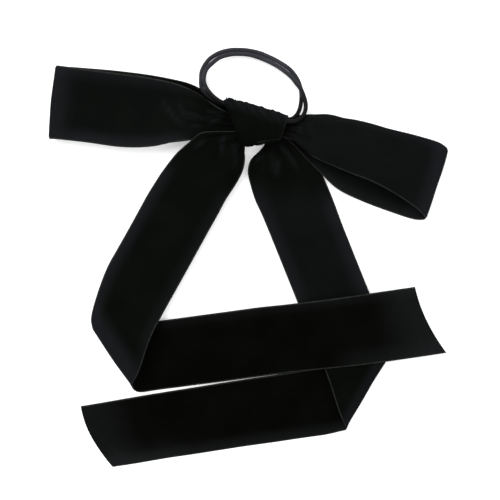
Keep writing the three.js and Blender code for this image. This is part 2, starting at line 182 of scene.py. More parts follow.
def smooth_points(points, ts):
    """Uniform Catmull-Rom curve through the points, at each t from 0 to 1."""
    p = np.asarray(points, float)
    p = np.vstack([2 * p[0] - p[1], p, 2 * p[-1] - p[-2]])
    spans = len(p) - 3
    t = np.clip(np.asarray(ts, float), 0, 1) * spans
    k = np.minimum(t.astype(int), spans - 1)
    f = (t - k)[:, None]
    a, b, c, d = p[k], p[k + 1], p[k + 2], p[k + 3]
    return 0.5 * (2 * b + (c - a) * f + (2 * a - 5 * b + 4 * c - d) * f ** 2
                  + (3 * b - a - 3 * c + d) * f ** 3)


def smoothstep(x, low, high):
    t = np.clip((np.asarray(x, float) - low) / (high - low), 0, 1)
    return t * t * (3 - 2 * t)


def unit_rows(v):
    return v / np.maximum(np.linalg.norm(v, axis=-1, keepdims=True), 1e-9)


def grid_normals(rows):
    """Unit normals of a grid of points, from its steps along and across the ribbon."""
    along = np.gradient(rows, axis=0)
    across = np.gradient(rows, axis=1)
    return unit_rows(np.cross(along, across))


def new_mesh(name, vertices, faces, materials, face_materials=None, painted_light=None):
    mesh = bpy.data.meshes.new(name)
    mesh.from_pydata((np.asarray(vertices) * MM).tolist(), [], faces)
    for material in materials:
        mesh.materials.append(material)
    if face_materials is not None:
        mesh.polygons.foreach_set("material_index", face_materials)
    mesh.polygons.foreach_set("use_smooth", [True] * len(mesh.polygons))
    if painted_light is not None:
        # An optional float layer of painted light, read by the materials.
        layer = mesh.attributes.new("painted_light", "FLOAT", "POINT")
        layer.data.foreach_set("value", np.asarray(painted_light, np.float32).ravel())
    mesh.update()
    piece = bpy.data.objects.new(name, mesh)
    bpy.context.scene.collection.objects.link(piece)
    return piece


# ---- ribbon --------------------------------------------------------------------------------------
RIBBON_WIDTH = 38.0
HALF_WIDTH = RIBBON_WIDTH / 2
SELVAGE_WIDTH = 0.75
PILE_HEIGHT = 0.34
CLOTH_HALF = 0.26
ROW_SPACING = 1.3
COLUMN_COUNT = 33


def column_places():
    """Places across the ribbon from edge A (0) to edge B (1), closer together at the selvages."""
    edge = SELVAGE_WIDTH / RIBBON_WIDTH
    rim = [0.0, edge * 0.5, edge, edge * 1.45]
    middle = np.linspace(edge * 2.4, 1 - edge * 2.4, COLUMN_COUNT).tolist()
    return np.array(rim + middle + [1 - x for x in reversed(rim)])


COLUMNS = column_places()


def ribbon_piece(name, rows, painted_light, face=1):
    """A closed ribbon: pile on one side, woven reverse on the other, thin selvages at both edges."""
    normals = grid_normals(rows) * face
    from_edge = np.minimum(COLUMNS, 1 - COLUMNS) * RIBBON_WIDTH
    pile = PILE_HEIGHT * smoothstep(from_edge, SELVAGE_WIDTH * 0.9, SELVAGE_WIDTH * 1.5)
    rounding = smoothstep(from_edge, -0.15, 0.3)
    front = rows + normals * (CLOTH_HALF * rounding + pile)[None, :, None]
    back = rows - normals * (CLOTH_HALF * rounding)[None, :, None]
    count_rows, count_columns = rows.shape[:2]
    size = count_rows * count_columns
    vertices = np.vstack([front.reshape(-1, 3), back.reshape(-1, 3)])
    index = np.arange(size).reshape(count_rows, count_columns)
    faces, slots = [], []
    a, b = index[:-1, :-1], index[:-1, 1:]
    c, d = index[1:, 1:], index[1:, :-1]
    selvage_columns = (from_edge[:-1] + from_edge[1:]) / 2 < SELVAGE_WIDTH * 1.05
    for i in range(count_rows - 1):
        for j in range(count_columns - 1):
            quad = [int(a[i, j]), int(d[i, j]), int(c[i, j]), int(b[i, j])]
            reverse = [v + size for v in reversed(quad)]
            if face < 0:
                quad.reverse()
                reverse.reverse()
            faces.append(quad)
            slots.append(2 if selvage_columns[j] else 0)
            faces.append(reverse)
            slots.append(2 if selvage_columns[j] else 1)
    rim = np.concatenate([index[0, :], index[1:, -1], index[-1, -2::-1], index[-2:0:-1, 0]])
    following = np.roll(rim, -1)
    for first, second in zip(rim.tolist(), following.tolist()):
        quad = [first, second, second + size, first + size]
        if face < 0:
            quad.reverse()
        faces.append(quad)
        slots.append(2)
    # Painted light, the same on both skins.
    both_sides = np.concatenate([painted_light.ravel(), painted_light.ravel()])
    return new_mesh(name, vertices, faces, [PILE, REVERSE, SELVAGE], slots, both_sides)


def rows_between_edges(stations, count, first=0.0, last=1.0):
    """Rows between two edge curves. A station is (edge A, edge B) and, where it arches, a crown."""
    t = np.linspace(first, last, count)
    a = smooth_points([s[0] for s in stations], t)
    b = smooth_points([s[1] for s in stations], t)
    crown = smooth_points([[s[2] if len(s) > 2 else 0.0] for s in stations], t)[:, 0]
    along = np.gradient(a + b, axis=0)
    normal = unit_rows(np.cross(b - a, along))
    v = COLUMNS[None, :, None]
    arch = (crown[:, None] * 4 * COLUMNS * (1 - COLUMNS))[:, :, None]
    return a[:, None, :] * (1 - v) + b[:, None, :] * v + normal[:, None, :] * arch


def row_lengths(rows):
    """Distance run along the ribbon's middle at each row."""
    middle = rows[:, rows.shape[1] // 2]
    steps = np.linalg.norm(np.diff(middle, axis=0), axis=1)
    return np.concatenate([[0], np.cumsum(steps)])


def painted_sheen_bands(run, bands):
    """Painted sheen on the pile: each band is (first, last, fade, edge, reach, strength) in mm along
    and across.
    """
    painted_light = np.zeros((len(run), len(COLUMNS)))
    from_edge = {"A": COLUMNS * RIBBON_WIDTH, "B": (1 - COLUMNS) * RIBBON_WIDTH}
    for first, last, fade, edge, reach, strength in bands:
        along = smoothstep(run, first - fade, first) * (1 - smoothstep(run, last, last + fade))
        across = np.ones(len(COLUMNS))
        if edge:
            across = 1 - smoothstep(from_edge[edge], 0, reach)
        painted_light += strength * along[:, None] * across[None, :]
    return np.clip(painted_light, 0, 1)


def add_pleats(rows, depth, count, near, far, run, phase=0.0):
    """Pleats across the ribbon, deep at run = near and gone at run = far."""
    fade = 1 - smoothstep(run, near, far)
    wander = 0.22 * np.sin(run / 6.3 + 5 * phase) + 0.12 * np.sin(run / 2.9 + 9 * phase)
    wave = np.sin(2 * math.pi * (count * COLUMNS[None, :] + phase + wander[:, None]))
    return rows + grid_normals(rows) * (depth * fade[:, None] * wave)[:, :, None]


def line_weight(rows, points, width):
    """1 on a line seen from above, fading away from it and towards its two ends."""
    points = np.asarray(points, float)
    plan = rows[:, :, :2]
    nearest = np.full(rows.shape[:2], 1e9)
    place = np.zeros(rows.shape[:2])
    count = len(points) - 1
    for k in range(count):
        step = points[k + 1] - points[k]
        t = np.clip(((plan - points[k]) @ step) / (step @ step), 0, 1)
        distance = np.linalg.norm(plan - points[k] - t[:, :, None] * step, axis=-1)
        closer = distance < nearest
        nearest = np.where(closer, distance, nearest)
        place = np.where(closer, (k + t) / count, place)
    ends = smoothstep(place, -0.15, 0.25) * (1 - smoothstep(place, 0.75, 1.15))
    return np.exp(-(nearest / width) ** 2) * ends


def add_creases(rows, painted_light, run, creases, last_run):
    """Ridges and hollows in the cloth, up to last_run, with a painted highlight along each: (line,
    width, height, paleness of the painted highlight).
    """
    rows = rows.copy()
    reach = (run < last_run)[:, None]
    for points, width, height, pale in creases:
        weight = line_weight(rows, points, width) * reach
        # Painted highlight along the crease, as strong as its paleness.
        painted_light = painted_light + pale * weight
        rows[:, :, 2] += height * weight
    return rows, np.clip(painted_light, 0, 1)


def soft_waves(rows, depth, scale, seed):
    """Shallow unevenness of the hand-tied cloth."""
    offsets = np.empty(rows.shape[:2])
    for i in range(rows.shape[0]):
        for j in range(rows.shape[1]):
            x, y, z = rows[i, j] * scale
            offsets[i, j] = noise.noise(Vector((x + seed, y, z * 2)))
    return rows + grid_normals(rows) * (depth * offsets)[:, :, None]


# ---- loops ---------------------------------------------------------------------------------------
# Each loop runs from the knot along its front, round its end and back along its underside.
LEFT_LOOP = [
    ((-6.0, 0.6, 6.2), (-4.6, -6.4, 6.2), 0),
    ((-10.5, 1.6, 6.6), (-8.6, -7.2, 6.6), 0),
    ((-15.0, 3.8, 7.2), (-13.0, -7.8, 7.2), 0.2),
    ((-21.0, 7.2, 7.8), (-20.5, -8.8, 7.8), 0.4),
    ((-29.5, 13.0, 8.2), (-29.5, -9.8, 8.2), 1.0),
    ((-40.0, 18.0, 8.4), (-40.0, -11.0, 8.2), 1.8),
    ((-55.0, 21.4, 8.6), (-55.0, -13.9, 8.6), 2.8),
    ((-71.0, 23.6, 8.6), (-71.0, -14.1, 8.8), 3.0),
    ((-88.0, 25.7, 8.2), (-90.0, -11.4, 8.4), 2.0),
    ((-99.0, 27.2, 7.8), (-103.6, -10.0, 7.8), 0.8),
    ((-102.6, 27.8, 6.6), (-107.4, -9.8, 6.6), 0.2),
    ((-103.5, 28.0, 4.6), (-108.5, -9.7, 4.6), 0),
    ((-102.4, 28.0, 2.4), (-107.2, -9.6, 2.4), 0),
    ((-98.6, 28.0, 1.2), (-103.0, -9.7, 1.2), 0),
    ((-88.0, 27.3, 0.8), (-90.0, -11.0, 0.8), 0),
    ((-71.0, 25.8, 0.8), (-71.0, -12.6, 0.8), 0),
    ((-55.0, 23.8, 0.8), (-55.0, -12.4, 0.8), 0),
    ((-41.0, 21.1, 1.0), (-41.0, -11.0, 1.1), 0),
    ((-34.0, 19.0, 1.4), (-34.0, -10.2, 1.6), 0),
    ((-27.0, 15.4, 2.2), (-27.0, -9.2, 2.4), 0),
    ((-20.5, 10.6, 3.0), (-20.5, -8.2, 3.0), 0),
    ((-15.0, 7.2, 3.5), (-13.0, -7.4, 3.5), 0),
    ((-10.5, 3.0, 3.8), (-8.6, -7.2, 3.8), 0),
    ((-6.0, 0.8, 4.0), (-4.6, -6.4, 4.0), 0),
]
RIGHT_LOOP = [
    ((10.8, -3.2, 4.3), (10.4, -7.8, 6.0), 0),
    ((12.8, -2.6, 4.3), (12.4, -8.0, 6.2), 0),
    ((15.5, -1.2, 4.3), (15.0, -8.3, 6.5), 0.1),
    ((19.6, 1.9, 3.9), (18.2, -10.0, 7.2), 0.6),
    ((24.5, 3.3, 3.9), (21.6, -12.8, 8.6), 1.4),
    ((33.0, 3.3, 4.6), (27.5, -17.6, 10.5), 2.6),
    ((42.0, 2.0, 5.6), (34.5, -21.8, 12.0), 3.6),
    ((54.5, -0.4, 5.6), (46.8, -27.0, 13.2), 5),
    ((70.0, -4.3, 5.6), (60.8, -32.4, 13.2), 5),
    ((85.0, -8.2, 5.6), (75.5, -40.4, 11.4), 4),
    ((94.8, -11.2, 5.8), (84.4, -46.4, 9.0), 2),
    ((99.3, -13.7, 5.0), (88.5, -50.0, 6.6), 0.8),
    ((100.4, -15.0, 3.4), (89.8, -51.6, 4.0), 0.2),
    ((98.6, -15.2, 1.8), (88.6, -52.3, 2.0), 0),
    ((94.0, -14.0, 1.0), (83.9, -51.9, 1.1), 0),
    ((85.0, -11.8, 0.8), (72.9, -48.4, 0.8), 0),
    ((70.0, -7.8, 0.8), (57.5, -42.7, 0.9), 0),
    ((54.5, -3.4, 1.0), (43.6, -36.1, 2.8), 0),
    ((42.0, 1.0, 1.4), (34.4, -27.8, 4.1), 0),
    ((33.0, 2.8, 1.4), (28.0, -21.6, 4.1), 0),
    ((24.5, 2.4, 1.4), (22.4, -15.8, 4.1), 0),
    ((19.6, 0.8, 1.6), (18.2, -11.3, 3.9), 0),
    ((15.5, -1.8, 2.2), (15.0, -9.4, 3.6), 0),
    ((12.8, -2.9, 2.4), (12.4, -8.6, 3.6), 0),
    ((10.8, -3.8, 2.6), (10.4, -8.0, 3.6), 0),
]
# Bands of painted sheen, paler at the loop ends, along edges and inside: (first, last, fade, edge,
# reach, strength), as the band function above takes them.
LEFT_LOOP_PAINTED_SHEEN = [
    (102, 106, 14, None, 0, 0.8),
    (34, 100, 20, None, 0, 0.1),
    (44, 84, 20, "B", 9, 0.95),
    (40, 100, 18, "A", 8, 0.5),
]
RIGHT_LOOP_PAINTED_SHEEN = [
    (91, 99, 11, None, 0, 0.8),
    (14, 84, 10, None, 0, 0.24),
    (12, 84, 10, "A", 8, 0.4),
    (104, 160, 20, None, 0, 0.42),
    (104, 150, 20, "B", 8, 0.5),
]
# Creases: (line, width, height, paleness of the painted highlight along the crease).
LEFT_LOOP_CREASES = [
    ([(-48.0, 10.5), (-46.5, 6.4), (-44.5, 3.9), (-41.4, 0.3), (-37.4, -3.0)], 1.1, 0.6, 0.5),
    ([(-39.8, 9.5), (-38.6, 5.5), (-37.8, 1.3)], 1.1, 0.5, 0.3),
    ([(-37.6, 2.8), (-32.6, 3.6), (-29.3, 1.9)], 0.75, 0.4, 0.35),
    ([(-37.0, 0.8), (-31.0, 1.2), (-26.0, 0.4)], 0.75, 0.35, 0.25),
    ([(-33.8, -3.2), (-28.4, -3.2)], 0.85, 0.35, 0.4),
    ([(-26.0, 4.1), (-16.6, 3.3)], 0.75, 0.35, 0.25),
    ([(-26.0, 1.6), (-17.6, 1.4)], 0.7, 0.3, 0.2),
    ([(-24.9, -2.4), (-21.8, -0.8), (-18.4, 0.2)], 0.95, 0.4, 0.4),
    ([(-35.6, 6.4), (-34.6, 4.6)], 1.1, -0.5, 0.0),
    ([(-30.5, -5.4), (-23.0, -4.6)], 1.2, -0.5, 0.0),
]
RIGHT_LOOP_CREASES = [
    ([(17.4, -1.2), (22.4, -1.6)], 0.9, 0.35, 0.4),
    ([(22.6, 0.6), (22.9, -4.0), (22.6, -8.4)], 1.2, 0.4, 0.25),
    ([(27.0, -0.5), (29.5, -7.0), (30.5, -12.0)], 1.6, 0.5, 0.15),
]
LEFT_TAIL_CREASES = [
    ([(-16.2, -8.6), (-17.6, -12.4), (-17.8, -17.6)], 1.2, 0.5, 0.45),
    ([(-31.6, -14.2), (-26.8, -10.6)], 1.1, 0.4, 0.45),
    ([(-12.6, -11.0), (-10.6, -17.0), (-11.2, -25.0)], 1.4, 0.4, 0.2),
    ([(-22.6, -9.4), (-24.4, -16.0), (-28.0, -24.0)], 1.5, -0.5, 0.0),
]
RIGHT_TAIL_CREASES = [
    ([(12.8, -12.8), (17.8, -18.6), (22.0, -25.0)], 1.1, 0.45, 0.35),
    ([(11.8, -20.6), (11.3, -24.0), (10.5, -28.6)], 1.3, 0.45, 0.5),
    ([(3.6, -17.6), (0.0, -21.2)], 1.0, 0.4, 0.45),
    ([(8.2, -16.4), (9.2, -21.0), (8.4, -26.0)], 1.1, 0.4, 0.25),
    ([(14.6, -19.0), (16.6, -24.0), (16.0, -30.0)], 1.2, -0.4, 0.0),
]


def loop_rows(stations, pleats, seed):
    length = row_lengths(rows_between_edges(stations, 200))[-1]
    rows = rows_between_edges(stations, int(length / ROW_SPACING))
    run = row_lengths(rows)
    rows = add_pleats(rows, 0.8, pleats, 8, 52, run, phase=0.15)
    rows = add_pleats(rows, 0.35, pleats * 2.3, 6, 34, run, phase=0.6)
    rows = add_pleats(rows, 0.5, pleats, 6, 36, run[-1] - run, phase=0.4)
    return soft_waves(rows, 0.7, 0.055, seed), run


# ---- tails ---------------------------------------------------------------------------------------
CUT_SHEAR_LENGTH = 40.0
SLIP_ZONE = (-30, 10)
FOLD_REACH = 6.0
LEAN_RAMP = 36.0
PROFILE_SAMPLES = 800


def unit2(x, y):
    return np.array([x, y]) / math.hypot(x, y)


# A tail runs down, folds along a line through fold_centre and goes on sideways. start and length
# are places along it from the fold, profile is (distance out from the fold line, height), and root
# gives both edges between the knot and start.
LEFT_TAIL = dict(
    down=unit2(-0.5014, -0.8652), sideways=unit2(0.9913, 0.1315), fold_centre=(-81.6, -119.65),
    fold_slip=8.0, bow_before=-1.6, bow_after=-0.5, start=-80.0, length=179.4,
    fold_zone=(-58, 64), cut_slant=6.5, cut_hollow=2.3, tuck=0.9, corners=(0.3, 2.2),
    profile=[
        (-120, 4.6), (-80, 4.4), (-60, 4.2), (-45, 5.0), (-32, 7.5), (-20, 10.9), (-10, 13.2),
        (-3, 12.2), (0, 6.7), (-3, 2.6), (-10, 1.5), (-22, 1.4), (-45, 1.9), (-70, 2.0),
        (-80, 2.4), (-90, 3.8), (-100, 5.2), (-112, 6.2), (-125, 6.4), (-140, 6.2), (-170, 5.2),
    ],
    root=[
        ((-6.8, -5.4, 8.6), (-3.2, -10.4, 7.4)),
        ((-10.6, -6.4, 10.4), (-6.2, -12.2, 9.0)),
        ((-15.2, -6.3, 11.0), (-5.9, -16.0, 9.2)),
        ((-22.0, -6.0, 10.8), (-5.6, -18.8, 8.6)),
        ((-29.0, -6.9, 10.2), (-5.9, -22.8, 7.8)),
        ((-34.8, -11.6, 9.2), (-7.5, -28.0, 6.9)),
        ((-41.5, -17.3, 8.0), (-10.6, -33.6, 6.0)),
        ((-48.6, -25.9, 6.6), (-15.9, -41.6, 5.2)),
        ((-53.0, -32.2, 5.4), (-20.0, -49.2, 4.8)),
    ],
)
RIGHT_TAIL = dict(
    down=unit2(0.3847, -0.923), sideways=unit2(-0.9905, -0.1378), fold_centre=(62.65, -144.5),
    fold_slip=4.15, bow_before=-1.15, bow_after=2.3, start=-90.0, length=149.3,
    fold_zone=(-62, 62), cut_slant=5.5, cut_hollow=-2.8, tuck=1.0, corners=(2.0, 0.3),
    profile=[
        (-140, 2.4), (-80, 2.5), (-60, 2.5), (-45, 2.5), (-30, 2.8), (-20, 3.6), (-12, 4.4),
        (-5, 4.3), (-1.2, 3.6), (0, 2.4), (-1.2, 1.3), (-5, 0.7), (-14, 0.6), (-40, 0.6),
        (-100, 0.6), (-150, 0.6),
    ],
    root=[
        ((5.2, -10.2, 3.2), (14.6, -7.8, 3.0)),
        ((4.4, -13.0, 2.4), (17.0, -9.2, 2.3)),
        ((1.9, -16.0, 2.2), (20.6, -11.6, 2.2)),
        ((-2.7, -20.4, 2.3), (25.2, -15.7, 2.3)),
        ((-4.3, -26.2, 2.4), (30.2, -20.6, 2.4)),
        ((-3.4, -32.0, 2.4), (34.2, -26.0, 2.4)),
        ((-0.4, -41.7, 2.4), (37.8, -33.8, 2.4)),
        ((3.6, -50.4, 2.4), (41.4, -42.4, 2.4)),
    ],
)


def profile_table(profile):
    curve = smooth_points(profile, np.linspace(0, 1, PROFILE_SAMPLES))
    steps = np.linalg.norm(np.diff(curve, axis=0), axis=1)
    run = curve[0, 0] + np.concatenate([[0], np.cumsum(steps)])
    return run, curve[:, 0], curve[:, 1]


def tail_axes(tail):
    down, sideways = tail["down"], tail["sideways"]
    side = np.array([down[1], -down[0]])
    fold = unit_rows(down + sideways)
    outward = unit_rows(down - sideways)
    return down, side, fold, outward


def tail_place(tail, u, v):
    """Points on the folded strip: u along it from the fold, v across it, +1 at edge A."""
    run, xs, zs = tail["table"]
    down, side, fold, outward = tail_axes(tail)
    near_cut = smoothstep(u, tail["length"] - CUT_SHEAR_LENGTH, tail["length"])
    cut = tail["cut_slant"] * v + tail["cut_hollow"] * (1 - v * v)
    flat = (u - cut * near_cut)[..., None] * down + (v * HALF_WIDTH)[..., None] * side
    beyond = flat @ outward
    at_fold = np.exp(-(beyond / FOLD_REACH) ** 2)
    corner = np.where(v > 0, tail["corners"][0], tail["corners"][1]) * v * np.abs(v) ** 5 * at_fold
    x = np.interp(beyond, run, xs)
    z = np.interp(beyond, run, zs)
    bow = np.where(beyond < 0, tail["bow_before"], tail["bow_after"]) * (beyond / 100) ** 2
    along = flat @ fold + tail["fold_slip"] * smoothstep(beyond, *SLIP_ZONE) + bow
    x = x - tail["tuck"] * at_fold
    plan = np.array(tail["fold_centre"]) + along[..., None] * fold + x[..., None] * outward
    plan = plan - corner[..., None] * side
    return np.concatenate([plan, z[..., None]], axis=-1)


def tail_rows(tail, pleats, seed):
    tail["table"] = profile_table(tail["profile"])
    edge_points = [tuple(tail_place(tail, np.array([u, u]), np.array([1.0, -1.0])))
                   for u in (tail["start"], tail["start"] + 14)]
    stations = list(tail["root"]) + edge_points
    share = (len(stations) - 2) / (len(stations) - 1)
    root_length = row_lengths(rows_between_edges(stations, 60, 0, share))[-1]
    root_rows = rows_between_edges(stations, int(root_length / ROW_SPACING), 0, share)
    u = np.append(np.arange(tail["start"] + ROW_SPACING, tail["length"], ROW_SPACING), tail["length"])
    down, side, _, outward = tail_axes(tail)
    first, last = tail["fold_zone"]
    # Rows lean until they lie along the fold line, so that the fold is one clean bend.
    lean = (HALF_WIDTH * (side @ outward) / (down @ outward) * smoothstep(u, first, first + LEAN_RAMP)
            * (1 - smoothstep(u, last - LEAN_RAMP, last)))
    v = 1 - 2 * COLUMNS
    leaning = u[:, None] - v[None, :] * lean[:, None]
    rows = np.vstack([root_rows, tail_place(tail, leaning, np.broadcast_to(v, leaning.shape))])
    run = row_lengths(rows)
    rows = add_pleats(rows, 0.6, pleats, 6, 46, run, phase=0.2)
    rows = add_pleats(rows, 0.35, pleats * 2.6, 4, 30, run, phase=0.7)
    fold_run = root_length - tail["start"]
    return soft_waves(rows, 0.5, 0.05, seed), run, fold_run


# ---- build the ribbons ---------------------------------------------------------------------------
LOOP_CREASED_SHARE = 0.4
TAIL_CREASED_RUN = 60


def loop_piece(name, stations, pleats, seed, bands, creases, face):
    rows, run = loop_rows(stations, pleats, seed)
    rows, painted_light = add_creases(rows, painted_sheen_bands(run, bands), run, creases,
                            LOOP_CREASED_SHARE * run[-1])
    return ribbon_piece(name, rows, painted_light, face), run


left_loop, left_run = loop_piece("left_loop_ribbon", LEFT_LOOP, 4, 3.1, LEFT_LOOP_PAINTED_SHEEN,
                                 LEFT_LOOP_CREASES, 1)
right_loop, right_run = loop_piece("right_loop_ribbon", RIGHT_LOOP, 3, 7.7, RIGHT_LOOP_PAINTED_SHEEN,
                                   RIGHT_LOOP_CREASES, -1)


def tail_piece(name, rows, run, bands, creases):
    rows, painted_light = add_creases(rows, painted_sheen_bands(run, bands), run, creases, TAIL_CREASED_RUN)
    return ribbon_piece(name, rows, painted_light)


# The bands given to each tail below are painted sheen: paler at the fold, along the edges and towards
# the cut end.
rows, left_tail_run, bend = tail_rows(LEFT_TAIL, 3, 11.3)
end = left_tail_run[-1]
left_tail = tail_piece("left_tail_ribbon", rows, left_tail_run, [
    (bend - 1, bend, 13, None, 0, 0.85),
    (44, bend - 6, 14, "A", 9, 0.85),
    (44, bend - 20, 14, "B", 8, 0.4),
    (36, bend - 30, 16, None, 0, 0.04),
    (bend + 30, end, 16, "A", 7, 0.3),
    (end - 36, end, 20, "B", 13, 0.45),
    (end - 4, end, 26, None, 0, 0.65),
], LEFT_TAIL_CREASES)
rows, right_tail_run, bend = tail_rows(RIGHT_TAIL, 3, 15.9)
end = right_tail_run[-1]
right_tail = tail_piece("right_tail_ribbon", rows, right_tail_run, [
    (bend - 1, bend, 8, None, 0, 0.5),
    (46, bend - 40, 16, "B", 10, 0.75),
    (34, bend - 50, 16, "A", 10, 0.6),
    (44, 96, 26, None, 0, 0.2),
    (bend + 8, end, 12, "A", 9, 0.6),
    (end - 36, end, 24, "A", 16, 0.35),
    (end - 4, end, 26, None, 0, 0.5),
], RIGHT_TAIL_CREASES)

# Each ribbon is set in world space, and the CAD parts it replaces are hidden.
for piece, body, nodes, start, end, length in (
    (left_loop, "left_loop", ("left_loop", "left_loop_neck"), (-33, 0, 8), (-48, 0, 8),
     left_run[-1]),
    (right_loop, "right_loop", ("right_loop", "right_loop_neck"), (30, -11.5, 9), (44, -16.5, 9),
     right_run[-1]),
    (left_tail, "left_tail", ("left_tail",), (-10, -9, 10), (-24, -34, 10), left_tail_run[-1]),
    (right_tail, "right_tail", ("right_tail",), (4, -12.5, 2), (6.5, -38, 2), right_tail_run[-1]),
):
    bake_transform(piece)
    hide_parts(*nodes)

# ---- knot ----------------------------------------------------------------------------------------
# Plan points of the upper and lower edges, from left to right.
KNOT_TOP = [(-17.8, 11.9), (-7.0, 9.2), (2.5, 6.5), (9.8, 4.4), (16.9, 2.2)]
KNOT_BOTTOM = [(-7.4, -14.2), (-1.6, -13.6), (3.8, -12.7), (8.3, -11.6), (12.4, -10.7)]
KNOT_HALF_Z = 7.2
RIGHT_END_DROP = 1.05
KNOT_SUNK = 0.8
KNOT_WALL = 1.2
KNOT_SQUARENESS = 3.4
KNOT_SIDES = 144
KNOT_RINGS = 110
LIP_SHARE = 0.12
LIP_DEPTH = 2.2
# Where the stitches cross the edge, from the left end (0) to the right end (1).
STITCH_PLACES = [0.05, 0.16, 0.27, 0.35, 0.47, 0.57, 0.67, 0.76, 0.86]
PUFF_DEPTH = 0.55
# Creases run round the wrap: (place along it, width, depth).
KNOT_CREASES = [(0.24, 0.035, 0.45), (0.47, 0.03, 0.3), (0.66, 0.045, 0.5), (0.84, 0.03, 0.25)]
# Selvage shows all round the right end, and in a line along the lower side of the top half.
RIGHT_SELVAGE_FROM = 0.982
LOWER_SELVAGE_FROM = 0.36
LOWER_SELVAGE_SIDE = -0.86
LOWER_SELVAGE_HALF = 0.02
KNOT_ANGLES = np.linspace(0, 2 * math.pi, KNOT_SIDES, endpoint=False)
SIDE_SHARE = np.sign(np.cos(KNOT_ANGLES)) * np.abs(np.cos(KNOT_ANGLES)) ** (2 / KNOT_SQUARENESS)
TOP_HALF = np.sin(KNOT_ANGLES) > 0


def knot_half_height(t):
    """Half height of the knot at t, less towards the right end."""
    return KNOT_HALF_Z - RIGHT_END_DROP * smoothstep(t, 0.5, 1)


def knot_frame(t):
    """Plan middle of the knot at each t, and the step from there to its upper edge."""
    top = np.hstack([smooth_points(KNOT_TOP, t), np.zeros((len(t), 1))])
    bottom = np.hstack([smooth_points(KNOT_BOTTOM, t), np.zeros((len(t), 1))])
    return (top + bottom) / 2, (top - bottom) / 2


def knot_surface(wall):
    """Rings of the wrap from its left end to its right, wall = how far inside the outer face."""
    t = np.linspace(0, 1, KNOT_RINGS)
    middle, upright = knot_frame(t)
    half = np.linalg.norm(upright, axis=1)
    height = np.sign(np.sin(KNOT_ANGLES)) * np.abs(np.sin(KNOT_ANGLES)) ** (2 / KNOT_SQUARENESS)
    shrink = np.zeros((KNOT_RINGS, KNOT_SIDES)) + wall
    skew = 0.05 * SIDE_SHARE[None, :]
    for place, width, depth in KNOT_CREASES:
        shrink += depth * np.exp(-((t[:, None] + skew - place) / width) ** 2) * (wall == 0)
    puffs = np.abs(np.sin(math.pi * np.interp(t, STITCH_PLACES, range(len(STITCH_PLACES)))))
    shrink -= (PUFF_DEPTH * puffs[:, None] * smoothstep(SIDE_SHARE, 0.6, 0.95)[None, :]) * (wall == 0)
    shrink += LIP_DEPTH * np.clip(1 - t[:, None] / LIP_SHARE, 0, 1) ** 2
    reach = (half[:, None] - shrink) / half[:, None]
    points = middle[:, None, :] + upright[:, None, :] * (SIDE_SHARE[None, :] * reach)[:, :, None]
    half_z = knot_half_height(t)[:, None]
    z = half_z - KNOT_SUNK + height[None, :] * (half_z - shrink)
    points[:, :, 2] = np.maximum(z, wall + 0.02)
    return points


def tube_between(name, outer, inner, materials, painted_light, edged):
    """A closed wall between two tubes of rings; edged picks the faces of the second material."""
    rings, sides = outer.shape[:2]
    size = rings * sides
    vertices = np.vstack([outer.reshape(-1, 3), inner.reshape(-1, 3)])
    faces, slots = [], []
    for i in range(rings - 1):
        for k in range(sides):
            n = (k + 1) % sides
            a, b, c, d = i * sides + k, i * sides + n, (i + 1) * sides + n, (i + 1) * sides + k
            faces.append([a, b, c, d])
            faces.append([size + d, size + c, size + b, size + a])
            slots.extend([int(edged[i, k]), 0])
    last = (rings - 1) * sides
    for k in range(sides):
        n = (k + 1) % sides
        faces.append([size + k, size + n, n, k])
        faces.append([last + k, last + n, size + last + n, size + last + k])
        slots.extend([0, 1])
    return new_mesh(name, vertices, faces, materials, slots, np.concatenate([painted_light.ravel(), painted_light.ravel()]))


outer = knot_surface(0)
knot_t = np.linspace(0, 1, KNOT_RINGS)[:, None]
# Painted sheen on the wrap: paler towards its upper edge and to the right, in uneven streaks.
uneven = 0.75 + 0.25 * np.sin(outer[:, :, 0] * 1.3 + 0.9 * outer[:, :, 1])
knot_painted_light = uneven * smoothstep(outer[:, :, 1] + 0.3 * outer[:, :, 0], -1, 8)
right_selvage = knot_t > RIGHT_SELVAGE_FROM
on_lower_line = (np.abs(SIDE_SHARE - LOWER_SELVAGE_SIDE) < LOWER_SELVAGE_HALF) & TOP_HALF
lower_selvage = (knot_t > LOWER_SELVAGE_FROM) & on_lower_line
knot = tube_between("knot_velvet", outer, knot_surface(KNOT_WALL), [PILE, SELVAGE], knot_painted_light,
                    right_selvage | lower_selvage)
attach(knot, "bow")
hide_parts("knot_wrap")

# ---- round strands: elastic rings and thread -----------------------------------------------------
CURVE_SAMPLES = 2000
RIDGE_GAIN = 1.4


def no_painted_light(centre):
    return np.zeros(len(centre))


def tie_painted_light(centre):
    """The elastic is paler where it runs free of the bow: painted shade near the bow, and a painted
    highlight on one stretch of the ring.
    """
    # Painted highlight on one stretch of the ring.
    painted_highlight = np.exp(-((centre[:, 0] - 10) ** 2 + (centre[:, 1] - 31) ** 2) / 40)
    # Painted shade near the bow, fading out as the ring runs free of it.
    return np.clip(0.7 * smoothstep(centre[:, 1], 9, 24) + 0.6 * painted_highlight, 0, 1)


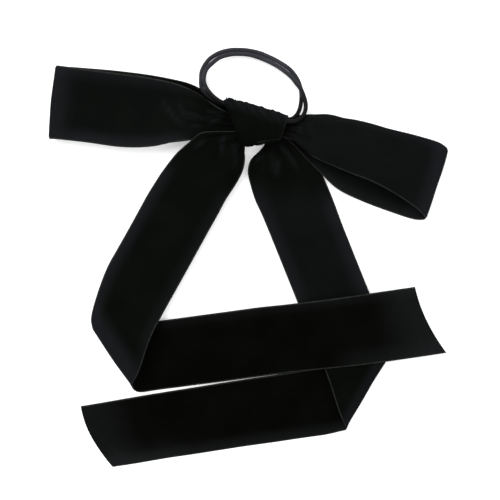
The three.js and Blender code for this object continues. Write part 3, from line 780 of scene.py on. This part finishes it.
def round_strand(name, points, radius, sides, spacing, material, closed=False, ridge=0.0, turns=0.0,
                 paleness=no_painted_light):
    """A round bar along a smooth curve, with helical ridges for a braid or twist."""
    pts = np.asarray(points, float)
    if closed:
        pts = np.vstack([pts[-2:], pts, pts[:3]])
        spans = len(pts) - 1
        dense = smooth_points(pts, np.linspace(2 / spans, (spans - 2) / spans, CURVE_SAMPLES))[:-1]
    else:
        dense = smooth_points(pts, np.linspace(0, 1, CURVE_SAMPLES))
    source = np.vstack([dense, dense[:1]]) if closed else dense
    steps = np.linalg.norm(np.diff(source, axis=0), axis=1)
    run = np.concatenate([[0], np.cumsum(steps)])
    count = max(int(run[-1] / spacing), 8)
    s = np.linspace(0, run[-1], count, endpoint=not closed)
    centre = np.stack([np.interp(s, run, source[:, k]) for k in range(3)], axis=1)
    if closed:
        tangent = unit_rows(np.roll(centre, -1, 0) - np.roll(centre, 1, 0))
    else:
        tangent = unit_rows(np.gradient(centre, axis=0))
    normal = np.zeros_like(centre)
    normal[0] = unit_rows(np.cross(tangent[0], [0, 0, 1]))
    for i in range(1, count):
        n = normal[i - 1] - tangent[i] * np.dot(normal[i - 1], tangent[i])
        normal[i] = n / np.linalg.norm(n)
    if closed:
        n = normal[-1] - tangent[0] * np.dot(normal[-1], tangent[0])
        n /= np.linalg.norm(n)
        twist = math.atan2(np.dot(np.cross(n, normal[0]), tangent[0]), np.dot(n, normal[0]))
        spin = twist * np.arange(count) / count
        binormal = np.cross(tangent, normal)
        normal = normal * np.cos(spin)[:, None] + binormal * np.sin(spin)[:, None]
    binormal = np.cross(tangent, normal)
    angle = np.linspace(0, 2 * math.pi, sides, endpoint=False)
    phase = 2 * math.pi * turns * s / run[-1]
    lift = (np.abs(np.sin(2 * angle[None, :] + phase[:, None]))
            + np.abs(np.sin(2 * angle[None, :] - phase[:, None]))) / 2
    r = radius - ridge + ridge * lift * RIDGE_GAIN
    ring = (centre[:, None, :] + normal[:, None, :] * (r * np.cos(angle))[:, :, None]
            + binormal[:, None, :] * (r * np.sin(angle))[:, :, None])
    vertices = ring.reshape(-1, 3)
    faces = []
    for i in range(count if closed else count - 1):
        j = (i + 1) % count
        for k in range(sides):
            n = (k + 1) % sides
            faces.append([i * sides + k, i * sides + n, j * sides + n, j * sides + k])
    if not closed:
        faces.append(list(range(sides))[::-1])
        faces.append([(count - 1) * sides + k for k in range(sides)])
    # Painted light along the strand, the same all round each ring.
    painted_light = np.repeat(paleness(centre), sides)
    return new_mesh(name, vertices, faces, [material], painted_light=painted_light)


STRAND_RADIUS = 1.12
# Each ring of the hair tie is one closed curve through these points, in place of its root and arc
# parts.
STRAND_1 = [
    (-28.0, 15.9, 5.6), (-24.4, 11.8, 5.9), (-19.8, 8.7, 6.2), (-14.5, 7.4, 6.5), (-4.0, 4.6, 6.6),
    (7.0, 1.9, 6.6), (16.6, 0.3, 6.6), (20.2, 1.6, 6.2), (22.6, 5.2, 5.2), (23.6, 10.2, 4.0),
    (23.7, 14.2, 3.0), (23.1, 17.9, 2.2), (21.3, 22.1, 1.6), (17.8, 26.5, 1.3), (12.6, 30.1, 1.2),
    (7.3, 32.8, 1.2), (2.1, 34.9, 1.2), (-3.1, 36.1, 1.2), (-8.4, 36.6, 1.2), (-13.6, 36.4, 1.2),
    (-18.9, 35.1, 1.3), (-24.4, 31.7, 1.8), (-28.0, 26.0, 3.2), (-28.6, 21.0, 4.6),
]
STRAND_2 = [
    (-25.7, 16.2, 8.5), (-22.4, 12.0, 9.0), (-18.6, 9.2, 9.2), (-14.5, 7.6, 9.2), (-4.0, 4.6, 9.2),
    (7.0, 1.5, 9.2), (17.0, -1.2, 9.2), (22.6, 0.4, 8.6), (25.3, 4.0, 7.7), (25.6, 9.0, 6.8),
    (23.5, 15.4, 5.6), (21.1, 18.9, 4.7), (17.7, 23.0, 3.8), (12.5, 27.1, 3.1), (7.3, 30.0, 2.9),
    (2.1, 32.2, 2.9), (-3.1, 33.7, 3.0), (-8.3, 34.2, 3.0), (-13.5, 33.9, 3.1), (-18.7, 32.3, 3.6),
    (-22.9, 29.1, 4.5), (-25.9, 25.6, 5.8), (-27.0, 20.6, 7.2),
]
for number, points in ((1, STRAND_1), (2, STRAND_2)):
    strand = round_strand(f"tie_strand_{number}_elastic", points, STRAND_RADIUS, 24, 0.45, ELASTIC,
                          closed=True, ridge=0.05, turns=150, paleness=tie_painted_light)
    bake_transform(strand)
    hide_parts(f"tie_strand_{number}_root", f"tie_strand_{number}_arc")

# ---- stitches over the knot's top edge -----------------------------------------------------------
STITCH_RADIUS = 0.24
STITCH_PROUD = 0.1
STITCH_BURIED = -0.75
# One stitch: (degrees round the wrap, height over its face, how far on along the knot).
STITCH_STEPS = [
    (58, STITCH_PROUD, 0), (40, STITCH_PROUD, 0.002), (22, STITCH_PROUD, 0.004),
    (4, STITCH_PROUD, 0.006), (-12, STITCH_PROUD, 0.008), (-16, STITCH_BURIED, 0.02),
    (24, STITCH_BURIED, 0.045), (56, STITCH_BURIED, 0.07),
]


def stitch_path():
    """One thread whipped over the edge: over it on the outside, then back through the cloth."""
    points = []
    for k, place in enumerate(STITCH_PLACES):
        for degrees, lift, onward in STITCH_STEPS:
            if lift < 0 and k == len(STITCH_PLACES) - 1:
                continue
            middle, upright = knot_frame(np.array([place + onward]))
            half = np.linalg.norm(upright[0])
            angle = math.radians(degrees)
            side = math.cos(angle) ** (2 / KNOT_SQUARENESS) * (half + lift) / half
            height = math.copysign(abs(math.sin(angle)) ** (2 / KNOT_SQUARENESS), angle)
            spot = middle[0] + upright[0] * side
            half_z = float(knot_half_height(place + onward))
            points.append((spot[0], spot[1], half_z - KNOT_SUNK + height * (half_z + lift)))
    return points


stitching = round_strand("knot_stitch_thread", stitch_path(), STITCH_RADIUS, 12, 0.25, THREAD,
                         ridge=0.03, turns=90)
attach(stitching, "bow")
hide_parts("knot_stitching")

# ---- bunched ribbon inside the knot, with its binding thread -------------------------------------
CORE_CENTRE_Z = 6.4
# Sections of the bunched ribbon: (x, y, half width, half height).
CORE_SECTIONS = [
    (-4.3, -3.6, 5.6, 3.7), (-1.0, -4.0, 4.4, 3.3), (2.5, -4.5, 3.0, 2.7), (6.0, -4.8, 3.6, 3.0),
    (9.2, -5.1, 3.8, 3.2), (11.6, -4.9, 4.2, 3.3), (13.0, -4.8, 4.0, 3.1),
]
CORE_PLEATS = 9
CORE_SIDES = 108
CORE_RINGS = 60
BINDING_TURNS = 3
BINDING_RADIUS = 0.28
BINDING_CLEARANCE = 0.6
BINDING_SPREAD = 1.2
STEPS_PER_TURN = 16


def core_piece():
    sides, rings = CORE_SIDES, CORE_RINGS
    section = smooth_points(CORE_SECTIONS, np.linspace(0, 1, rings))
    angle = np.linspace(0, 2 * math.pi, sides, endpoint=False)
    pleat = 1 + 0.1 * np.cos(CORE_PLEATS * angle + 0.6 * np.sin(2 * angle)) - 0.06
    x = np.repeat(section[:, :1], sides, axis=1)
    y = section[:, 1:2] + section[:, 2:3] * (pleat * np.cos(angle))[None, :]
    z = CORE_CENTRE_Z + section[:, 3:4] * (pleat * np.sin(angle))[None, :]
    vertices = np.stack([x, y, z], axis=-1).reshape(-1, 3)
    faces = []
    for i in range(rings - 1):
        for k in range(sides):
            n = (k + 1) % sides
            faces.append([i * sides + k, i * sides + n, (i + 1) * sides + n, (i + 1) * sides + k])
    faces.append(list(range(sides))[::-1])
    faces.append([(rings - 1) * sides + k for k in range(sides)])
    return new_mesh("gathered_core_pleats", vertices, faces, [PILE])


core = core_piece()
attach(core, "bow")
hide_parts("gathered_core")

waist_x, waist_y, waist_half_y, waist_half_z = CORE_SECTIONS[2]
binding_path = []
binding_steps = STEPS_PER_TURN * BINDING_TURNS
for k in range(binding_steps + 1):
    angle = 2 * math.pi * k / STEPS_PER_TURN
    binding_path.append((waist_x - BINDING_SPREAD / 2 + BINDING_SPREAD * k / binding_steps,
                         waist_y + (waist_half_y + BINDING_CLEARANCE) * math.cos(angle),
                         CORE_CENTRE_Z + (waist_half_z + BINDING_CLEARANCE) * math.sin(angle)))
binding = round_strand("binding_thread_wrap", binding_path, BINDING_RADIUS, 12, 0.25, THREAD,
                       ridge=0.03, turns=120)
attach(binding, "bow")
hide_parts("binding_thread")

# ---- table and light -----------------------------------------------------------------------------
TABLE_REACH = 2.0
BOW_MIDDLE = (0, -0.06, 0)


def make_stage():
    mesh = bpy.data.meshes.new("table")
    corners = [(x * TABLE_REACH, y * TABLE_REACH, 0) for x, y in ((-1, -1), (1, -1), (1, 1), (-1, 1))]
    mesh.from_pydata(corners, [], [(0, 1, 2, 3)])
    table = bpy.data.objects.new("table", mesh)
    bpy.context.scene.collection.objects.link(table)
    material, _, shader = new_material("pale_table")
    shader.inputs["Base Color"].default_value = (0.9, 0.9, 0.9, 1)
    shader.inputs["Roughness"].default_value = 0.9
    shader.inputs["Emission Color"].default_value = (1, 1, 1, 1)
    shader.inputs["Emission Strength"].default_value = 0.35
    mesh.materials.append(material)


def area_light(name, place, target, size, power):
    data = bpy.data.lights.new(name, "AREA")
    data.energy = power
    data.size = size
    lamp = bpy.data.objects.new(name, data)
    lamp.location = place
    lamp.rotation_euler = (Vector(target) - Vector(place)).to_track_quat("-Z", "Y").to_euler()
    bpy.context.scene.collection.objects.link(lamp)


make_stage()
area_light("key", (-0.35, 0.45, 0.9), BOW_MIDDLE, 0.7, 9.0)
area_light("fill", (0.7, -0.5, 0.8), BOW_MIDDLE, 0.9, 4.0)
world = bpy.data.worlds.new("studio")
world.use_nodes = True
sky = world.node_tree.nodes["Background"]
sky.inputs["Color"].default_value = (1, 1, 1, 1)
sky.inputs["Strength"].default_value = 0.7
bpy.context.scene.world = world
bpy.context.scene.view_settings.view_transform = "Standard"
